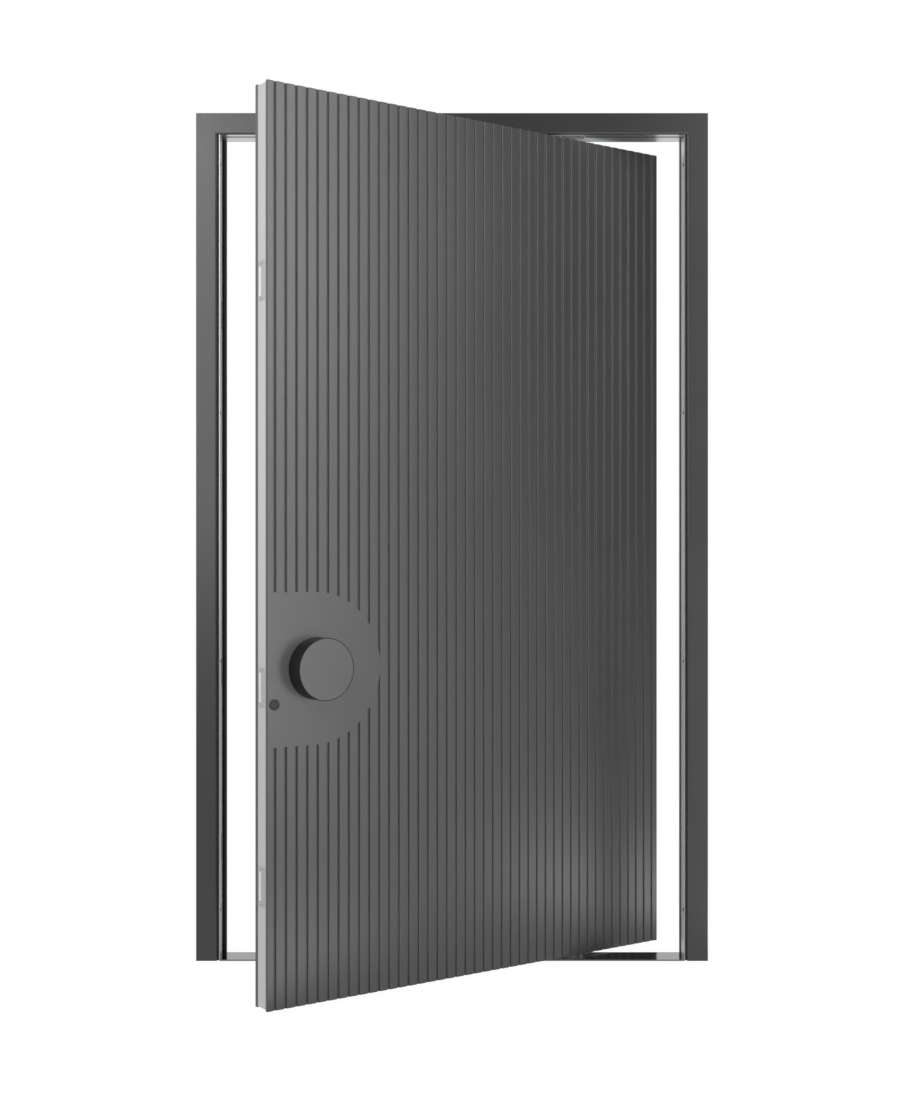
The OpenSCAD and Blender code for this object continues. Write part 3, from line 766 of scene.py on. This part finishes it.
# ---- Knobs ------------------------------------------------------------------------------------
# Each pull knob is a turned black aluminium drum, undercut where it meets the panel, with a
# painted disc pressed into its face. Its rims are broken by a small radius.
KNOB_COLOUR = (0.016, 0.016, 0.017, 1.0)
KNOB_ROUGHNESS = 0.45
KNOB_STEPS = 96
KNOB_RIM = 0.0008
RIM_SOFTNESS = 0.3
KNOB_UNDERCUT = 0.0015
UNDERCUT_EASE = 3.0
UNDERCUT_RISE = 1.33
DISC_EDGE = 0.0005

knob_black = material_from(
    "knob_black", powder_coat, KNOB_COLOUR, KNOB_ROUGHNESS, MOULDED_PEEL,
)


def turned(outline, centre, outward):
    """Spins an outline of (radius, distance) points about the Y axis through centre."""
    shape = bmesh.new()
    points = [shape.verts.new((radius, distance * outward, 0.0)) for radius, distance in outline]
    edges = [shape.edges.new(pair) for pair in zip(points, points[1:])]
    bmesh.ops.spin(
        shape, geom=points + edges, cent=(0.0, 0.0, 0.0), axis=(0.0, 1.0, 0.0),
        angle=QUARTER_TURN * 4, steps=KNOB_STEPS, use_merge=True,
    )
    bmesh.ops.remove_doubles(shape, verts=shape.verts, dist=SAME_POINT)
    bmesh.ops.recalc_face_normals(shape, faces=shape.faces)
    bmesh.ops.translate(shape, verts=shape.verts, vec=centre)
    return shape


for side, outward in (("front", -1.0), ("back", 1.0)):
    low, high = shut_box(f"{side}_knob")
    disc_low, disc_high = shut_box(f"{side}_knob_face")
    radius = (high.x - low.x) / 2
    disc_radius = (disc_high.x - disc_low.x) / 2
    root_y = high.y if outward < 0 else low.y
    reach = high.y - low.y
    disc_t = disc_high.y - disc_low.y
    centre = Vector(((low.x + high.x) / 2, root_y, (low.z + high.z) / 2))
    lip = (radius - disc_radius) / 2
    drum = turned([
        (0.0, 0.0),
        (radius - KNOB_UNDERCUT, 0.0),
        (radius - KNOB_UNDERCUT, KNOB_UNDERCUT),
        (radius - KNOB_UNDERCUT / UNDERCUT_EASE, KNOB_UNDERCUT),
        (radius, KNOB_UNDERCUT * UNDERCUT_RISE),
        (radius, reach - KNOB_RIM),
        (radius - KNOB_RIM * RIM_SOFTNESS, reach - KNOB_RIM * RIM_SOFTNESS),
        (radius - KNOB_RIM, reach),
        (radius - lip, reach),
        (radius - lip, reach - disc_t),
        (0.0, reach - disc_t),
    ], centre, outward)
    drum.transform(LEAF_OPEN)
    body = add_piece(f"{side}_knob_drum", drum, knob_black, "leaf")
    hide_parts(f"{side}_knob")
    face = turned([
        (0.0, reach - disc_t),
        (disc_radius, reach - disc_t),
        (disc_radius, reach - DISC_EDGE),
        (disc_radius - DISC_EDGE, reach),
        (0.0, reach),
    ], centre, outward)
    face.transform(LEAF_OPEN)
    disc = add_piece(f"{side}_knob_disc", face, panel_paint, "leaf")
    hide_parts(f"{side}_knob_face")


# ---- Lock cylinder and roses ------------------------------------------------------------------
# A round cylinder right through the leaf, in black nickel, with a turning plug and a keyway at
# each end. A black rose with a coned rim covers the hole on each side.
BARREL_COLOUR = (0.05, 0.05, 0.052, 1.0)
BARREL_ROUGHNESS = 0.42
PLUG_COLOUR = (0.1, 0.1, 0.103, 1.0)
PLUG_ROUGHNESS = 0.4
PLUG_STEPS = 48
FACES_UP = 0.9
ROSE_CONE = 0.0012
PLUG_SHARE = 0.72
PLUG_GAP = 0.0004
PLUG_STEP = 0.0005
KEYWAY_HALF_W = 0.0012
KEYWAY_HALF_H = 0.0042
KEYWAY_DEPTH = 0.006

cylinder_dark = material_from(
    "cylinder_black_nickel", drawn_metal, BARREL_COLOUR, BARREL_ROUGHNESS, DIE_LINES, NO_GRAIN,
)
plug_dark = material_from(
    "plug_black_nickel", drawn_metal, PLUG_COLOUR, PLUG_ROUGHNESS, DIE_LINES, NO_GRAIN,
)
low, high = shut_box("lock_cylinder")
cylinder_radius = (high.x - low.x) / 2
cylinder_centre = Vector(((low.x + high.x) / 2, low.y, (low.z + high.z) / 2))
length = high.y - low.y
plug_radius = cylinder_radius * PLUG_SHARE
barrel = turned([
    (plug_radius + PLUG_GAP, 0.0),
    (cylinder_radius - PLUG_STEP, 0.0),
    (cylinder_radius, PLUG_STEP),
    (cylinder_radius, length - PLUG_STEP),
    (cylinder_radius - PLUG_STEP, length),
    (plug_radius + PLUG_GAP, length),
    (plug_radius + PLUG_GAP, 0.0),
], cylinder_centre, 1.0)
barrel.transform(LEAF_OPEN)
body = add_piece("cylinder_barrel", barrel, cylinder_dark, "leaf")
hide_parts("lock_cylinder")
for side, face_y, outward in (("front", low.y, -1.0), ("back", high.y, 1.0)):
    plug = bmesh.new()
    bmesh.ops.create_cone(
        plug, cap_ends=True, segments=PLUG_STEPS, radius1=plug_radius, radius2=plug_radius,
        depth=KEYWAY_DEPTH * 2,
    )
    for axis, half in ((0, KEYWAY_HALF_W), (1, KEYWAY_HALF_H)):
        for sign in (-1.0, 1.0):
            place = Vector((0.0, 0.0, 0.0))
            place[axis] = half * sign
            across = Vector((0.0, 0.0, 0.0))
            across[axis] = 1.0
            top = [face for face in plug.faces if face.normal.z > FACES_UP]
            geom = top + list({edge for face in top for edge in face.edges})
            geom += list({vertex for face in top for vertex in face.verts})
            bmesh.ops.bisect_plane(plug, geom=geom, plane_co=place, plane_no=across)
    top = [face for face in plug.faces if face.normal.z > FACES_UP]
    keyway = [face for face in top if face.calc_center_median().xy.length < KEYWAY_HALF_W / 2]
    pushed = bmesh.ops.extrude_discrete_faces(plug, faces=keyway)["faces"]
    deep = list({vertex for face in pushed for vertex in face.verts})
    bmesh.ops.translate(plug, verts=deep, vec=(0.0, 0.0, -KEYWAY_DEPTH))
    bmesh.ops.translate(plug, verts=plug.verts, vec=(0.0, 0.0, -KEYWAY_DEPTH - PLUG_STEP))
    bmesh.ops.rotate(plug, verts=plug.verts, matrix=Matrix.Rotation(-QUARTER_TURN * outward, 3, "X"))
    bmesh.ops.translate(
        plug, verts=plug.verts, vec=(cylinder_centre.x, face_y, cylinder_centre.z),
    )
    plug.transform(LEAF_OPEN)
    add_piece(f"{side}_cylinder_plug", plug, plug_dark, "leaf")

    rose_low, rose_high = shut_box(f"{side}_cylinder_rose")
    rose_radius = (rose_high.x - rose_low.x) / 2
    rose_t = rose_high.y - rose_low.y
    root_y = rose_high.y if outward < 0 else rose_low.y
    rose = turned([
        (cylinder_radius + PLUG_GAP / 4, 0.0),
        (rose_radius, 0.0),
        (rose_radius, rose_t - ROSE_CONE),
        (rose_radius - ROSE_CONE, rose_t),
        (cylinder_radius + PLUG_GAP * 2, rose_t),
        (cylinder_radius + PLUG_GAP / 4, rose_t - PLUG_STEP),
        (cylinder_radius + PLUG_GAP / 4, 0.0),
    ], Vector((cylinder_centre.x, root_y, cylinder_centre.z)), outward)
    rose.transform(LEAF_OPEN)
    ring = add_piece(f"{side}_rose_ring", rose, knob_black, "leaf")
    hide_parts(f"{side}_cylinder_rose")
